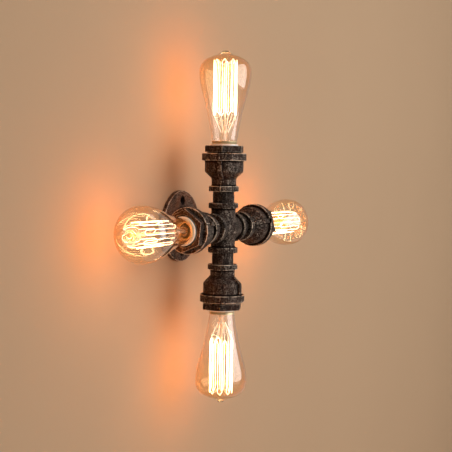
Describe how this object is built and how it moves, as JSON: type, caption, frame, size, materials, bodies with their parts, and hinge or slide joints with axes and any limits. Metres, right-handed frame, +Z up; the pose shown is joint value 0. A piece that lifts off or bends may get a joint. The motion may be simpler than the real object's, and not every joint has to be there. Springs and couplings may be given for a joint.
{
  "type": "pipe wall lamp",
  "caption": "Rigid iron-pipe wall lamp: round flange, cross fitting and arms up, down, left and right, each with a bell reducer and a screw-in filament bulb.",
  "frame": {"origin": "centre of the flange's back face, on the wall plane", "axes": "+Z up, wall on the plane y = 0 with the lamp on its -Y side, +X to the right seen from the room"},
  "size_m": [0.4324, 0.095, 0.4324],
  "materials": {
    "cast_iron": "black with rubbed bronze edges",
    "pipe_iron": "black with rubbed bronze edges",
    "porcelain": "white glazed",
    "brass": "plain",
    "solder": "dull tin",
    "cap_brass": "bright",
    "black_glass": "gloss black",
    "amber_glass": "clear amber",
    "clear_glass": "clear",
    "filament": "glowing",
    "support_wire": "dull",
    "live_insulation": "matte brown",
    "neutral_insulation": "matte blue"
  },
  "bodies": {
    "pipework": {"wall_flange": "cast_iron", "stem_nipple": "pipe_iron", "five_way_cross": "cast_iron", "junction_block": "porcelain", "terminal_screws": "brass", "live_leads": "live_insulation", "neutral_leads": "neutral_insulation", "top_nipple": "pipe_iron", "top_reducer": "cast_iron", "top_bushing": "cast_iron", "top_holder": "porcelain", "top_holder_shell": "brass", "top_holder_contact": "brass", "bottom_nipple": "pipe_iron", "bottom_reducer": "cast_iron", "bottom_bushing": "cast_iron", "bottom_holder": "porcelain", "bottom_holder_shell": "brass", "bottom_holder_contact": "brass", "left_nipple": "pipe_iron", "left_reducer": "cast_iron", "left_bushing": "cast_iron", "left_holder": "porcelain", "left_holder_shell": "brass", "left_holder_contact": "brass", "right_nipple": "pipe_iron", "right_reducer": "cast_iron", "right_bushing": "cast_iron", "right_holder": "porcelain", "right_holder_shell": "brass", "right_holder_contact": "brass"},
    "top_bulb_foot": {"top_bulb_contact": "solder"},
    "top_bulb": {"top_bulb_insulator": "black_glass", "top_bulb_cap": "cap_brass", "top_bulb_glass": "amber_glass", "top_bulb_stem": "clear_glass", "top_bulb_filament": "filament", "top_bulb_supports": "support_wire"},
    "bottom_bulb_foot": {"bottom_bulb_contact": "solder"},
    "bottom_bulb": {"bottom_bulb_insulator": "black_glass", "bottom_bulb_cap": "cap_brass", "bottom_bulb_glass": "amber_glass", "bottom_bulb_stem": "clear_glass", "bottom_bulb_filament": "filament", "bottom_bulb_supports": "support_wire"},
    "left_bulb_foot": {"left_bulb_contact": "solder"},
    "left_bulb": {"left_bulb_insulator": "black_glass", "left_bulb_cap": "cap_brass", "left_bulb_glass": "amber_glass", "left_bulb_stem": "clear_glass", "left_bulb_filament": "filament", "left_bulb_supports": "support_wire"},
    "right_bulb_foot": {"right_bulb_contact": "solder"},
    "right_bulb": {"right_bulb_insulator": "black_glass", "right_bulb_cap": "cap_brass", "right_bulb_glass": "amber_glass", "right_bulb_stem": "clear_glass", "right_bulb_filament": "filament", "right_bulb_supports": "support_wire"}
  },
  "joints": [
    {"name": "top_bulb_advance", "type": "slide", "parent": "pipework", "child": "top_bulb_foot", "axis": [0, 0, 1], "range_m": [0, 0.0182]},
    {"name": "top_bulb_turn", "type": "hinge", "parent": "top_bulb_foot", "child": "top_bulb", "pos_m": [0, -0.063, 0], "axis": [0, 0, 1], "range_deg": [0, 1800]},
    {"name": "bottom_bulb_advance", "type": "slide", "parent": "pipework", "child": "bottom_bulb_foot", "axis": [0, 0, -1], "range_m": [0, 0.0182]},
    {"name": "bottom_bulb_turn", "type": "hinge", "parent": "bottom_bulb_foot", "child": "bottom_bulb", "pos_m": [0, -0.063, 0], "axis": [0, 0, -1], "range_deg": [0, 1800]},
    {"name": "left_bulb_advance", "type": "slide", "parent": "pipework", "child": "left_bulb_foot", "axis": [-1, 0, 0], "range_m": [0, 0.0182]},
    {"name": "left_bulb_turn", "type": "hinge", "parent": "left_bulb_foot", "child": "left_bulb", "pos_m": [0, -0.063, 0], "axis": [-1, 0, 0], "range_deg": [0, 1800]},
    {"name": "right_bulb_advance", "type": "slide", "parent": "pipework", "child": "right_bulb_foot", "axis": [1, 0, 0], "range_m": [0, 0.0182]},
    {"name": "right_bulb_turn", "type": "hinge", "parent": "right_bulb_foot", "child": "right_bulb", "pos_m": [0, -0.063, 0], "axis": [1, 0, 0], "range_deg": [0, 1800]}
  ],
  "couplings": [
    {"joint": "top_bulb_advance", "follows": "top_bulb_turn", "m_per_rad": 0.00057757},
    {"joint": "bottom_bulb_advance", "follows": "bottom_bulb_turn", "m_per_rad": 0.00057757},
    {"joint": "left_bulb_advance", "follows": "left_bulb_turn", "m_per_rad": 0.00057757},
    {"joint": "right_bulb_advance", "follows": "right_bulb_turn", "m_per_rad": 0.00057757}
  ]
}
